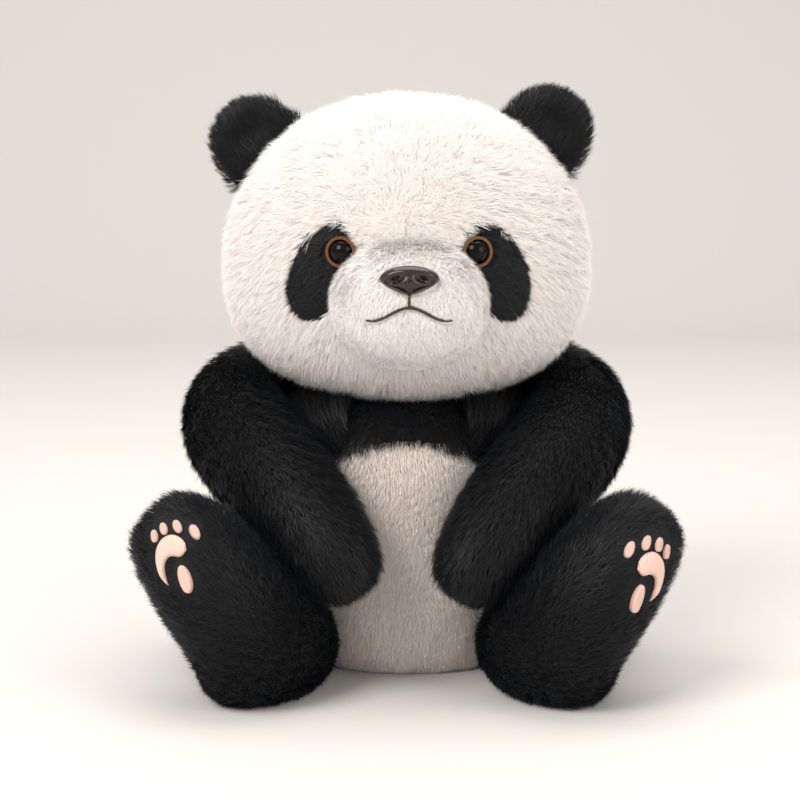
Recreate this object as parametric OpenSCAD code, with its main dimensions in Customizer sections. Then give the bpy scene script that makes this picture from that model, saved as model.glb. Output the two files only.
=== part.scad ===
// Sitting plush panda, sewn from pile fabric panels over separate stuffings.
// The panda faces -Y, its own left is +X, and the origin is in the middle of the seat, on the ground.

/* [Torso] */
// Width of the torso at its widest
torso_w = 134; // [115:1:160]
// Depth of the torso from belly to back
torso_d = 150; // [130:1:180]
// Height of the torso from the seat to the neck
torso_h = 140; // [125:1:165]
// Height of the belly panel's top edge at the middle of the chest
belly_top = 128; // [110:1:134]
// Height of the white fabric's top edge under the arms and across the back
side_seam = 106; // [88:1:109]

/* [Head] */
// Width of the head across the cheeks
head_w = 188; // [160:1:225]
// Height of the head
head_h = 155; // [130:1:185]
// Depth of the head without the muzzle
head_d = 148; // [130:1:175]
// How far the head's middle stands in front of the torso's
head_lead = 18; // [8:1:24]
// How far the face's middle line is off the head's, towards the panda's left
face_shift = 1; // [-4:0.5:4]

/* [Neck] */
// Diameter of the neck
neck_d = 40; // [30:1:44]
// Height of the neck between torso and head
neck_h = 8; // [6:0.5:12]

/* [Muzzle] */
// Width of the muzzle
muzzle_w = 76; // [60:1:88]
// Height of the muzzle
muzzle_h = 64; // [52:1:74]
// How far the muzzle stands out of the face
muzzle_out = 30; // [20:1:38]
// How far the muzzle's middle is below the head's
muzzle_drop = 24; // [16:1:30]

/* [Eyes] */
// Diameter of an eye with its amber ring
eye_d = 16; // [12:0.5:19]
// Gap from the muzzle's edge to an eye, at the eye's height
eye_gap = 5.2; // [4:0.1:9]
// Diameter of the shank that holds an eye or the nose
shank_d = 4; // [3:0.5:5]
// Diameter of a push-on washer
washer_d = 12; // [10:0.5:14]

/* [Eye patches] */
// Width of an eye patch
patch_w = 31; // [26:1:38]
// Height of an eye patch
patch_h = 53; // [44:1:62]

/* [Nose and mouth] */
// Width of the nose
nose_w = 30; // [24:1:36]
// Height of the nose
nose_h = 14; // [11:0.5:17]
// Thickness of the nose
nose_t = 9; // [7:0.5:11]
// Width of the stitched mouth
mouth_w = 44; // [36:1:52]
// Thickness of the mouth's thread
thread_d = 1.2; // [0.8:0.1:1.6]

/* [Ears] */
// Width of an ear
ear_w = 47; // [40:1:56]
// Height of an ear above the head
ear_h = 29; // [24:1:36]
// Thickness of an ear
ear_t = 20; // [16:1:24]
// Angle of the left ear from upright
left_ear_lean = 34; // [25:1:50]
// Angle of the right ear from upright
right_ear_lean = 40; // [25:1:50]
// Height of the left ear's root above the head's middle
left_ear_rise = 52; // [42:1:58]
// Height of the right ear's root above the head's middle
right_ear_rise = 47; // [40:1:58]

/* [Arms] */
// Thickness of an arm
arm_d = 52; // [46:1:58]
// Thickness of a paw
paw_d = 58; // [50:1:64]

/* [Legs] */
// Thickness of a leg where it joins the torso
thigh_d = 62; // [52:1:68]
// Width of the leg above its heel
heel_w = 66; // [56:1:72]
// Height of the leg above its heel
heel_h = 50; // [42:1:56]
// Width of a foot across its sole
foot_w = 80; // [68:1:88]
// Thickness of a foot behind its sole
foot_t = 78; // [66:1:84]

/* [Tail] */
// Diameter of the tail
tail_d = 40; // [30:1:46]

/* [Making] */
// Thickness of the fabric under its pile
fabric_t = 1.6; // [1.2:0.1:2]
// Clearance between a fabric panel and what it covers
clearance = 0.4; // [0.3:0.05:0.6]
// Room between two bodies that bend at a seam
seam_gap = 2.4; // [2:0.1:3]

/* [Hidden] */
$fn = 48;
LEFT = 1;
RIGHT = -1;

// How far a stuffing lies below the outside of its panels: their flat facets cut into the curve.
stuffing_inset = fabric_t + 6 * clearance;

// Colours
WHITE = "#efe6dc";
BLACK = "#17181b";
FILL = "#f4f4f0";
PINK = "#e7a99b";
AMBER = "#b8752a";
BROWN = "#2a1a17";

// ---- Surfaces and solids from functions -------------------------------------------------------

function unit(v) = v / norm(v);
function mix(a, b, t) = a + (b - a) * t;

// A triangle, unless two of its corners are the same point, as they are at a pole.
function facet(pts, a, b, c) =
    (pts[a] != pts[b] && pts[b] != pts[c] && pts[c] != pts[a]) ? [[a, b, c]] : [];
function four_sided(pts, a, b, c, d) = concat(facet(pts, a, b, c), facet(pts, a, c, d));

// A curved sheet. f(p, q, depth) gives a point of the surface for p and q from 0 to 1, depth below it.
// A sheet that closes on itself goes all the way round with p, and has no ends there.
module sheet(f, depth, across, up, lift = 0, closes = false) {
    row = closes ? across : across + 1;
    layer = row * (up + 1);
    pts = [
        for (d = [-lift, depth]) for (j = [0:up]) for (i = [0:row - 1]) f(i / across, j / up, d)
    ];
    next = function(i) (i + 1) % row;
    cells = [for (j = [0:up - 1]) for (i = [0:across - 1]) [j * row + i, j * row + next(i)]];
    ends = closes ? [] : [for (j = [0:up - 1]) [j * row, j * row + across]];
    faces = [
        for (c = cells) each four_sided(pts, c[0], c[0] + row, c[1] + row, c[1]),
        for (c = cells) let (b = c + [layer, layer])
            each four_sided(pts, b[0], b[1], b[1] + row, b[0] + row),
        for (e = ends) each four_sided(pts, e[0], e[0] + layer, e[0] + row + layer, e[0] + row),
        for (e = ends) each four_sided(pts, e[1], e[1] + row, e[1] + row + layer, e[1] + layer),
        for (i = [0:across - 1]) each four_sided(pts, i, next(i), next(i) + layer, i + layer),
        for (i = [0:across - 1]) let (a = up * row + i, b = up * row + next(i))
            each four_sided(pts, a, a + layer, b + layer, b)
    ];
    polyhedron(pts, faces);
}

// A closed solid of rings. f(p, q) goes round with p and from one end to the other with q.
module solid(f, around, along) {
    rings = [for (j = [0:along]) for (i = [0:around - 1]) f(i / around, j / along)];
    middle = function(j) let (first = j * around)
        (rings[first] + rings[first + floor(around / 2)]) / 2;
    pts = concat(rings, [middle(0), middle(along)]);
    low = len(rings);
    top = low + 1;
    faces = [
        for (j = [0:along - 1]) for (i = [0:around - 1])
            let (a = j * around + i, b = j * around + (i + 1) % around)
            each four_sided(pts, a, a + around, b + around, b),
        for (i = [0:around - 1]) each facet(pts, i, (i + 1) % around, low),
        for (i = [0:around - 1]) let (a = along * around)
            each facet(pts, a + (i + 1) % around, a + i, top)
    ];
    polyhedron(pts, faces);
}

// The right side is the mirror image of the left.
module on(side) {
    if (side == LEFT) children();
    else mirror([1, 0, 0]) children();
}

// ---- Torso ------------------------------------------------------------------------------------

belly_z = 52;           // height of the torso's widest ring
belly_low = 68;         // the lower half's reach, cut off flat by the ground
torso_power = 8;        // higher is squarer shoulders
ring_power = 2.3;       // squareness of the torso's rings

function torso_share(z, top) = z < belly_z
    ? pow(1 - pow((belly_z - z) / belly_low, 3), 1 / 3)
    : pow(1 - pow(min((z - belly_z) / (top - belly_z), 1), torso_power), 1 / torso_power);

// A superellipse: the direction's reach in a ring of half-widths 1 and 1.
function ring_x(a, power) = sign(cos(a)) * pow(abs(cos(a)), 2 / power);
function ring_y(a, power) = sign(sin(a)) * pow(abs(sin(a)), 2 / power);

function torso_point(a, z, inset) =
    let (share = torso_share(z, torso_h - inset))
    [
        (torso_w / 2 - inset) * share * ring_x(a, ring_power),
        (torso_d / 2 - inset) * share * ring_y(a, ring_power),
        z
    ];

// The seam between black and white: an arch over the belly, level round the back.
function seam_z(a) =
    let (front = max(0, -sin(a)))
    side_seam + (belly_top - side_seam) * pow(front, 3);

module torso_sheet(from, to, low, high) {
    sheet(
        function(p, q, d) let (a = mix(from, to, p)) torso_point(a, mix(low(a), high(a), q), d),
        fabric_t, 16, 9
    );
}

// From the seam up to the middle of the neck, with heights closer together towards the top.
module yoke_sheet(from, to) {
    sheet(
        function(p, q, d)
            let (a = mix(from, to, p), top = torso_h - d, start = min(seam_z(a), top - 1))
            torso_point(a, mix(start, top, sin(90 * q)), d),
        fabric_t, 16, 8
    );
}

module belly_panel() {
    color(WHITE) torso_sheet(180, 360, function(a) 0, function(a) seam_z(a));
}
module lower_back_panel() {
    color(WHITE) torso_sheet(0, 180, function(a) 0, function(a) seam_z(a));
}
module front_yoke() {
    color(BLACK) yoke_sheet(180, 360);
}
module back_yoke() {
    color(BLACK) yoke_sheet(0, 180);
}

module seat_panel() {
    inset = fabric_t + clearance;
    color(WHITE) linear_extrude(fabric_t)
        polygon([for (a = [0:10:350]) let (p = torso_point(a, 0, inset)) [p[0], p[1]]]);
}

// The pellet bag lies in a hollow at the bottom of the stuffing.
bag_w = 70;
bag_h = 26;
bag_z = fabric_t + 2 * clearance;
stuffing_floor = bag_z + bag_h + clearance;

module torso_stuffing() {
    top = torso_h - stuffing_inset;
    color(FILL) solid(
        function(p, q)
            torso_point(-360 * p, mix(top, stuffing_floor, 1 - cos(90 * q)), stuffing_inset),
        24, 9
    );
}

module pellet_bag() {
    color("#d9cbb0") solid(
        function(p, q)
            let (share = pow(sin(180 * q), 0.5))
            [
                bag_w / 2 * share * cos(360 * p),
                bag_w / 2 * share * sin(360 * p),
                bag_z + bag_h * (1 - cos(180 * q)) / 2
            ],
        20, 10
    );
}

// Hand stitches up the middle of the back, where the toy was closed after stuffing.
closing_pitch = 7;
closing_count = 8;
closing_z = 34;
stitch_d = 0.8;

module closing_seam() {
    color(WHITE) for (i = [0:closing_count - 1]) {
        place = torso_point(90, closing_z + i * closing_pitch, 0);
        translate(place + [0, stitch_d / 2 + clearance, 0])
            rotate([0, 90, 0]) cylinder(d = stitch_d, h = 5, center = true);
    }
}

// ---- Tail -------------------------------------------------------------------------------------

tail_z = 34;
tail_depth = 36;
tail_middle = torso_point(90, tail_z, 0) + [0, seam_gap + tail_depth / 2, 0];

function tail_point(a, q, inset) =
    tail_middle + [
        (tail_d / 2 - inset) * sin(180 * q) * cos(a),
        (inset - tail_depth / 2) * cos(180 * q),
        -(tail_d / 2 - inset) * sin(180 * q) * sin(a)
    ];

module tail_half(from) {
    color(WHITE) sheet(function(p, q, d) tail_point(from + 180 * p, q, d), fabric_t, 8, 8);
}
module tail_stuffing() {
    color(FILL) solid(function(p, q) tail_point(360 * p, q, stuffing_inset), 14, 7);
}

// ---- Neck -------------------------------------------------------------------------------------

neck_y = 4 - head_lead;
neck_low = torso_h + clearance;
neck_reach = neck_h - clearance - seam_gap / 2;

module neck_sleeve() {
    color(BLACK) translate([0, neck_y, neck_low]) difference() {
        cylinder(d = neck_d, h = neck_reach);
        translate([0, 0, -1]) cylinder(d = neck_d - 2 * fabric_t, h = neck_reach + 2);
    }
}
module neck_stuffing() {
    color(FILL) translate([0, neck_y, neck_low])
        cylinder(d = neck_d - 2 * fabric_t - 2 * clearance, h = neck_reach);
}

// ---- Head -------------------------------------------------------------------------------------

head_y = -head_lead;
head_z = torso_h + neck_h + head_h / 2;
cheek = 6;              // how much wider the head is at the cheeks than at the crown
crown_power = 2;        // 2 is round, more is fuller
chin_power = 2.5;
head_round = 0.43;      // 0.5 is an ellipsoid, less is fuller

function head_share(u) = pow(max(0, 1 - pow(abs(u), u > 0 ? crown_power : chin_power)), head_round);
function head_ring(z, inset) =
    let (u = max(-1, min(1, (z - head_z) / (head_h / 2 - inset))))
    [(head_w / 2 - inset - cheek * u) * head_share(u), (head_d / 2 - inset) * head_share(u)];

function head_point(a, q, inset) =
    let (
        z = head_z - (head_h / 2 - inset) * cos(180 * q),
        ring = (q <= 0 || q >= 1) ? [0, 0] : head_ring(z, inset)
    )
    [ring[0] * cos(a), head_y + ring[1] * sin(a), z];

// The face's surface in front of x and z, and the way it faces there.
function face_y(x, z, inset = 0) =
    let (ring = head_ring(z, inset))
    head_y - ring[1] * sqrt(max(0, 1 - pow(x / ring[0], 2)));
function face_spot(x, z, out = 0) = [x, face_y(x, z) - out, z];

module head_sheet(from) {
    sheet(function(p, q, d) head_point(from + 180 * p, q, d), fabric_t, 16, 16);
}

module face_panel() {
    color(WHITE) difference() {
        head_sheet(180);
        shank_holes();
    }
}
module head_back_panel() {
    color(WHITE) head_sheet(0);
}
module head_stuffing() {
    color(FILL) difference() {
        solid(function(p, q) head_point(360 * p, q, stuffing_inset), 24, 14);
        for (side = [LEFT, RIGHT]) at_eye(side) washer_pocket();
    }
}

// ---- Muzzle -----------------------------------------------------------------------------------

muzzle_x = face_shift;
muzzle_z = head_z - muzzle_drop;
muzzle_power = 2.6;     // fullness of the dome

function muzzle_dome(r) = pow(1 - pow(min(r, 1), muzzle_power), 1 / muzzle_power);

// A point of the muzzle: a is the angle round it, r runs from 0 in the middle to 1 at its edge.
function muzzle_spot(a, r, inset) =
    let (
        x = muzzle_x + (muzzle_w / 2 - inset) * r * cos(a),
        z = muzzle_z + (muzzle_h / 2 - inset) * r * sin(a)
    )
    [x, face_y(x, z) - clearance - (muzzle_out - inset) * muzzle_dome(r), z];

// The area the muzzle covers, cut out of what lies on the face beside it.
module muzzle_footprint() {
    edge = [for (a = [0:15:345]) [(muzzle_w / 2 + 1) * cos(a), (muzzle_h / 2 + 1) * sin(a)]];
    translate([muzzle_x, 0, muzzle_z]) rotate([90, 0, 0]) linear_extrude(head_d) polygon(edge);
}

// How far in front of the face the muzzle's surface is, at x and z.
function muzzle_y(x, z, inset = 0) =
    let (
        across = (x - muzzle_x) / (muzzle_w / 2 - inset),
        up = (z - muzzle_z) / (muzzle_h / 2 - inset),
        r = min(1, norm([across, up]))
    )
    face_y(x, z) - clearance - (muzzle_out - inset) * muzzle_dome(r);

module muzzle_panel() {
    color(WHITE) difference() {
        sheet(
            function(p, q, d) muzzle_spot(360 * p, cos(90 * q), d),
            fabric_t, 24, 7, closes = true
        );
        at_nose() translate([0, 0, -20]) cylinder(d = shank_d + clearance, h = 30);
    }
}
module muzzle_stuffing() {
    color(FILL) difference() {
        solid(
            function(p, q)
                let (
                    r = q < 0.5 ? 2 * q : cos(180 * q - 90),
                    spot = muzzle_spot(360 * p, r, stuffing_inset)
                )
                q < 0.5 ? [spot[0], face_y(spot[0], spot[2]) - clearance, spot[2]] : spot,
            24, 14
        );
        at_nose() washer_pocket();
    }
}

// ---- Eyes -------------------------------------------------------------------------------------

eye_z = head_z + 2.5;
muzzle_edge = muzzle_w / 2 * sqrt(max(0, 1 - pow((eye_z - muzzle_z) / (muzzle_h / 2), 2)));
eye_x = muzzle_edge + eye_gap + eye_d / 2;
eye_turn = 18;          // the eyes look a little outwards
ring_wall = 1.5;
eye_dome_h = 4.5;
eye_seat = 0.6;         // room behind the flat back of an eye on the rounded face
patch_t = 1.4;
washer_t = 1.6;
shank_l = 9;

function eye_spot(side) = face_spot(face_shift + side * eye_x, eye_z, patch_t + clearance + eye_seat);

// Puts its children at an eye, with +Z pointing out of the face.
module at_eye(side) {
    translate(eye_spot(side)) rotate([90, 0, side * eye_turn]) children();
}
module shank_holes() {
    for (side = [LEFT, RIGHT]) at_eye(side)
        translate([0, 0, -20]) cylinder(d = shank_d + clearance, h = 22);
}
// Room for the shank and the washer in the stuffing.
module washer_pocket() {
    translate([0, 0, -shank_l - 6 * clearance]) cylinder(d = washer_d + 2 * clearance, h = shank_l + 8);
}

module eye_ring(side) {
    color(AMBER) at_eye(side) rotate_extrude()
        translate([eye_d / 2 - ring_wall, 0]) square([ring_wall, 1.6]);
}

// The black centre: a dome on a flat disc, with the shank behind it.
module eye(side) {
    r = eye_d / 2 - ring_wall - clearance / 4;
    bow = (r * r + eye_dome_h * eye_dome_h) / (2 * eye_dome_h);
    color("black") at_eye(side) union() {
        intersection() {
            translate([0, 0, eye_dome_h - bow]) sphere(bow);
            cylinder(r = r, h = eye_dome_h + 1);
        }
        translate([0, 0, -shank_l]) cylinder(d = shank_d, h = shank_l + 1);
    }
}

module washer() {
    difference() {
        cylinder(d = washer_d, h = washer_t);
        translate([0, 0, -1]) cylinder(d = shank_d, h = washer_t + 2);
    }
}
module eye_washer(side) {
    back = patch_t + clearance + eye_seat + fabric_t + washer_t + 1;
    color("ivory") at_eye(side) translate([0, 0, -back]) washer();
}

// An oval patch that leans out at the bottom, laid on the face round the eye.
patch_lean = 24;
patch_x = eye_x + 8.5;
patch_drop = 10;

function patch_xz(side, a, r) =
    let (x = patch_w / 2 * r * cos(a), z = patch_h / 2 * r * sin(a))
    [
        face_shift + side * (patch_x + x * cos(patch_lean) - z * sin(patch_lean)),
        eye_z - patch_drop + x * sin(patch_lean) + z * cos(patch_lean)
    ];

module eye_patch(side) {
    color(BLACK) difference() {
        sheet(
            function(p, q, d)
                let (spot = patch_xz(side, side * 360 * p, 1 - q))
                [spot[0], face_y(spot[0], spot[1]) - clearance / 2 + d, spot[1]],
            0, 20, 4, lift = patch_t - clearance / 2, closes = true
        );
        at_eye(side) translate([0, 0, -20]) cylinder(d = shank_d + clearance, h = 30);
        muzzle_footprint();
    }
}

// ---- Nose and mouth ---------------------------------------------------------------------------

nose_z = muzzle_z + 15;
nose_tip = 22;          // the nose looks up a little

module at_nose() {
    translate([muzzle_x, muzzle_y(muzzle_x, nose_z) - 1.2, nose_z])
        rotate([90 - nose_tip, 0, 0]) children();
}

// A wide rounded triangle, domed, with a shank behind it.
module nose() {
    color(BROWN) at_nose() union() {
        solid(
            function(p, q)
                let (lift = sin(90 * q), share = pow(cos(90 * q), 0.7))
                [nose_w / 2 * share * cos(360 * p), nose_h / 2 * share * sin(360 * p), nose_t * lift],
            24, 6
        );
        translate([0, 0, -shank_l]) cylinder(d = shank_d, h = shank_l + 1);
    }
}
module nose_washer() {
    color("ivory") at_nose() translate([0, 0, -fabric_t - washer_t - 4]) washer();
}

// The mouth: a short line down from the nose, then a wave with both ends turned down.
mouth_z = nose_z - nose_h / 2 - 7;
mouth_sides = 6;

function mouth_height(x) =
    let (t = 2 * abs(x) / mouth_w)
    mouth_z - 7 * (1 - cos(180 * min(1, t * 1.15))) / 2 + 2 * max(0, t - 0.87);

// A tube of thread laid on the muzzle along path(t), which gives x and z.
module laid_thread(path, count) {
    solid(
        function(p, q)
            let (
                xz = path(q),
                next = path(q + 0.01),
                r = thread_d / 2,
                way = unit([next[0] - xz[0], next[1] - xz[1]])
            )
            [
                xz[0] - way[1] * r * cos(360 * p),
                muzzle_y(xz[0], xz[1]) - 2 * r - clearance / 2 - r * sin(360 * p),
                xz[1] + way[0] * r * cos(360 * p)
            ],
        mouth_sides, count
    );
}
module mouth_stitching() {
    drop_from = nose_z - nose_h / 2 - 3;
    color(BROWN) {
        laid_thread(
            function(t) let (x = mouth_w * (t - 0.5)) [muzzle_x + x, mouth_height(x)],
            32
        );
        laid_thread(
            function(t) [muzzle_x, mix(drop_from, mouth_z + 1.6 * thread_d, t)],
            4
        );
    }
}

// ---- Ears -------------------------------------------------------------------------------------

ear_y = 8;              // the ears stand behind the head's middle
ear_gap = 1.5 * seam_gap;  // room under an ear's foot for its fold

function ear_lean(side) = side == LEFT ? left_ear_lean : right_ear_lean;
function ear_rise(side) = side == LEFT ? left_ear_rise : right_ear_rise;

// Where the middle of the ear's lower edge meets the head.
function ear_root(side) =
    let (
        z = head_z + ear_rise(side),
        ring = head_ring(z, 0),
        x = ring[0] * sqrt(1 - pow(ear_y / ring[1], 2))
    )
    [side * x, head_y + ear_y, z];

// Puts its children at an ear, with +Z pointing up along it.
module at_ear(side) {
    lean = ear_lean(side);
    translate(ear_root(side)) rotate([0, side * lean, 0]) translate([0, 0, ear_gap]) children();
}

function ear_point(a, q, inset) = [
    (ear_w / 2 - inset) * pow(cos(90 * q), 0.8) * cos(a),
    (ear_t / 2 - inset) * pow(cos(90 * q), 0.8) * sin(a),
    (ear_h - inset) * sin(90 * q)
];
module ear_sheet(side, from) {
    color(BLACK) at_ear(side)
        sheet(function(p, q, d) ear_point(from + 180 * p, q, d), fabric_t, 12, 8);
}
module ear_wadding(side) {
    color(FILL) at_ear(side)
        solid(function(p, q) ear_point(360 * p, q, stuffing_inset), 16, 6);
}

// ---- Arms and legs: forms along a bent middle line --------------------------------------------

function along(path, t) =
    let (u = 1 - t)
    u * u * u * path[0] + 3 * u * u * t * path[1] + 3 * u * t * t * path[2] + t * t * t * path[3];
function heading(path, t) =
    let (u = 1 - t)
    unit(u * u * (path[1] - path[0]) + 2 * u * t * (path[2] - path[1]) + t * t * (path[3] - path[2]));

// Three thicknesses, at the start, in the middle and at the end, joined by a smooth curve.
function swell(sizes, t) =
    let (u = 1 - t)
    u * u * sizes[0] + 2 * u * t * (2 * sizes[1] - (sizes[0] + sizes[2]) / 2) + t * t * sizes[2];

// A ring at q of the way: wide is the half-width towards facing, deep is across that.
// Nothing reaches below the ground, so a limb is flat where it rests on it.
function limb_point(path, wide, deep, facing, fullness, a, q, inset) =
    let (
        trim = inset / norm(path[3] - path[0]) / 2,
        t = mix(trim, 1 - trim, (1 - cos(180 * q)) / 2),
        ahead = heading(path, t),
        other = unit(cross(ahead, facing)),
        side = cross(other, ahead),
        close = (q <= 0 || q >= 1) ? 0 : pow(sin(180 * q), fullness),
        spot = along(path, t)
            + side * (swell(wide, t) - inset) * close * cos(a)
            + other * (swell(deep, t) - inset) * close * sin(a)
    )
    [spot[0], spot[1], max(spot[2], inset)];

module limb_sheet(point, from) {
    sheet(function(p, q, d) point(from + 180 * p, q, d), fabric_t, 10, 15);
}
module limb_stuffing(point) {
    solid(function(p, q) point(360 * p, q, stuffing_inset), 20, 15);
}

// Arms hang from the shoulders, just under the head, and curve in over the belly.
shoulder_x = torso_w / 2 + seam_gap;
shoulder_drop = 1.3;
// The height of the head's underside, x mm out from its middle.
function head_underside(x) =
    let (across = pow(min(x / (head_w / 2), 1), 1 / head_round))
    head_z - head_h / 2 * pow(1 - across, 1 / chin_power);
function arm_path(side) = [
    [shoulder_x - 6, 14, head_underside(shoulder_x - 6) - shoulder_drop],
    [shoulder_x + 60, 16, torso_h - 26],
    [shoulder_x + 4, -torso_d / 2 - 26, torso_h + 2],
    [shoulder_x - 42, -torso_d / 2 - 34, torso_h * (side == LEFT ? 0.4 : 0.41)]
];
arm_wide = [arm_d / 2 + 2, arm_d / 2, paw_d / 2];
arm_deep = [arm_d / 2 + 6, arm_d / 2 + 2, paw_d / 2];

function arm_point(side, a, q, inset) =
    limb_point(arm_path(side), arm_wide, arm_deep, [1, 0, 0], 0.48, a, q, inset);

module arm_panel(side, from) {
    color(BLACK) on(side)
        limb_sheet(function(a, q, d) arm_point(side, a, q, d), from);
}
module arm_stuffing(side) {
    color(FILL) on(side) limb_stuffing(function(a, q, d) arm_point(side, a, q, d));
}

// Legs run forward on the ground to the heel, then the foot turns up and out.
hip_x = torso_w / 2 + seam_gap + thigh_d / 2;
heel_x = torso_w / 2 + seam_gap + heel_w / 2;
leg_path = [
    [hip_x + 4, 13, thigh_d / 2],
    [heel_x - 6, -41, heel_h / 2 - 6],
    [heel_x - 78, -160, heel_h / 2 - 35],
    [heel_x + 24, -104, heel_h / 2 + 70]
];
leg_wide = [thigh_d / 2 - 7, heel_w / 2, foot_t / 2];
leg_deep = [thigh_d / 2, heel_h / 2, foot_w / 2];
sole_way = [0.67, -0.74, 0];

function leg_point(a, q, inset) =
    limb_point(leg_path, leg_wide, leg_deep, sole_way, 0.5, a, q, inset);

module leg_panel(side, from) {
    color(BLACK) on(side) limb_sheet(function(a, q, d) leg_point(a, q, d), from);
}
module leg_stuffing(side) {
    color(FILL) on(side) limb_stuffing(function(a, q, d) leg_point(a, q, d));
}

// ---- Paw pads ---------------------------------------------------------------------------------

pad_t = 1;
pad_q = 0.8;           // how far along the foot the middle of the pads is
pad_turn = 35;          // turns the toes up, because the foot itself leans outwards
ball_middle = [-2, -7]; // the ball of the foot is a bent strip round this point
ball_r = 14.5;
toes = [[14, 12], [5, 17.5], [-6, 19.5], [-17, 17]];
toe_size = [7, 9];
heel_pad = [-4, -9];
heel_pad_size = [9, 13];

// How far the pads sit outwards and up from the middle of the sole. The left foot's sit lower.
function pad_shift(side) = side == LEFT ? [-1, 8] : [-10, 19];

// A point of the sole, from x mm outwards and y mm up from its middle.
function sole_point(place, out) =
    let (
        x = place[0] * cos(pad_turn) - place[1] * sin(pad_turn),
        y = place[0] * sin(pad_turn) + place[1] * cos(pad_turn),
        foot_l = norm(leg_path[3] - leg_path[2])
    )
    leg_point(x / foot_w * 115, pad_q + y / foot_l / 1.9, -out);

// A pad is a strip of half-width width(q) along line(q), raised off the sole.
module pad(line, width) {
    sheet(
        function(p, q, d)
            let (way = unit(line(q + 0.01) - line(q - 0.01)))
            sole_point(line(q) + width(q) * (2 * p - 1) * [way[1], -way[0]], clearance - d),
        0, 4, 8, lift = pad_t
    );
}
module oval_pad(middle, size) {
    pad(
        function(q) middle + [0, size[1] * (q - 0.5)],
        function(q) size[0] / 2 * sqrt(max(0, 1 - pow(2 * q - 1, 2)))
    );
}
module paw_pads(side) {
    shift = pad_shift(side);
    color(PINK) on(side) {
        for (toe = toes) oval_pad(shift + toe, toe_size);
        oval_pad(shift + heel_pad, heel_pad_size);
        pad(
            function(q) shift + ball_middle + ball_r * [cos(mix(-34, 118, q)), sin(mix(-34, 118, q))],
            function(q) 7.5 * pow(max(0, q), 0.7) * sqrt(max(0, 1 - pow(max(0, 4 * q - 3), 2)))
        );
    }
}

// ---- Seams that hold the limbs ----------------------------------------------------------------

seam_thread = 1.2;
seam_ring_d = 20;
shoulder_z = torso_h - 24;
hip_z = thigh_d / 2 + 2;

// A ring of thread on the torso's side at height z.
module seam_ring(side, y, z) {
    reach = max([for (up = [-1, 0, 1]) torso_point(0, z + up * seam_ring_d / 2, 0)[0]]);
    color(BLACK) on(side)
        translate([reach + seam_thread / 2 + clearance, y, z])
            rotate([0, 90, 0]) rotate_extrude()
                translate([seam_ring_d / 2, 0]) circle(d = seam_thread);
}

// ---- The toy ----------------------------------------------------------------------------------

belly_panel();
lower_back_panel();
front_yoke();
back_yoke();
seat_panel();
torso_stuffing();
pellet_bag();
closing_seam();
neck_sleeve();
neck_stuffing();
face_panel();
head_back_panel();
head_stuffing();
muzzle_panel();
muzzle_stuffing();
nose();
nose_washer();
mouth_stitching();
eye_patch(LEFT);  // left_eye_patch
eye_ring(LEFT);  // left_eye_ring
eye(LEFT);  // left_eye
eye_washer(LEFT);  // left_eye_washer
eye_patch(RIGHT);  // right_eye_patch
eye_ring(RIGHT);  // right_eye_ring
eye(RIGHT);  // right_eye
eye_washer(RIGHT);  // right_eye_washer
ear_sheet(LEFT, 180);  // left_ear_front
ear_sheet(LEFT, 0);  // left_ear_back
ear_wadding(LEFT);  // left_ear_wadding
ear_sheet(RIGHT, 180);  // right_ear_front
ear_sheet(RIGHT, 0);  // right_ear_back
ear_wadding(RIGHT);  // right_ear_wadding
arm_panel(LEFT, -90);  // left_arm_outer_panel
arm_panel(LEFT, 90);  // left_arm_inner_panel
arm_stuffing(LEFT);  // left_arm_stuffing
seam_ring(LEFT, 6, shoulder_z);  // left_shoulder_seam
arm_panel(RIGHT, -90);  // right_arm_outer_panel
arm_panel(RIGHT, 90);  // right_arm_inner_panel
arm_stuffing(RIGHT);  // right_arm_stuffing
seam_ring(RIGHT, 6, shoulder_z);  // right_shoulder_seam
leg_panel(LEFT, -90);  // left_leg_outer_panel
leg_panel(LEFT, 90);  // left_leg_inner_panel
leg_stuffing(LEFT);  // left_leg_stuffing
paw_pads(LEFT);  // left_paw_pads
seam_ring(LEFT, 6, hip_z);  // left_hip_seam
leg_panel(RIGHT, -90);  // right_leg_outer_panel
leg_panel(RIGHT, 90);  // right_leg_inner_panel
leg_stuffing(RIGHT);  // right_leg_stuffing
paw_pads(RIGHT);  // right_paw_pads
seam_ring(RIGHT, 6, hip_z);  // right_hip_seam
tail_half(180);  // tail_upper_panel
tail_half(0);  // tail_lower_panel
tail_stuffing();
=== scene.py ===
import math

import bmesh
import bpy
import numpy as np
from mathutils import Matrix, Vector


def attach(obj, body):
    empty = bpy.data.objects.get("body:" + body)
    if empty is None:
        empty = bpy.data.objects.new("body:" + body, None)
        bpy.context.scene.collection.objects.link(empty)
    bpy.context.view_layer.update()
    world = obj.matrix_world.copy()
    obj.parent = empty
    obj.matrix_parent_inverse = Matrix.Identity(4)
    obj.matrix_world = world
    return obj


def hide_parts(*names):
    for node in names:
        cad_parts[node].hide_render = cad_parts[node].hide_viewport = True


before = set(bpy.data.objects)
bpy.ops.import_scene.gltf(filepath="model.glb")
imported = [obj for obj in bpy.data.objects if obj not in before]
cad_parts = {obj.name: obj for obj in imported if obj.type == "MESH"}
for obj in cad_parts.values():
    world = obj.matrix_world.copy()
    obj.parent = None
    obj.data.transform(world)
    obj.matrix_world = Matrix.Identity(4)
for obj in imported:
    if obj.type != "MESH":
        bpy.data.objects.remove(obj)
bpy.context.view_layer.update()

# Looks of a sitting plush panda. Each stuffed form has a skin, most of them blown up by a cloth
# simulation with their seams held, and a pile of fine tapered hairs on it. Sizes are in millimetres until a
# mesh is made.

MM = 0.001
LEFT, RIGHT = 1, -1
RANDOM = np.random.default_rng(7)

# ---- Sizes of the toy ---------------------------------------------------------------------------

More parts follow.
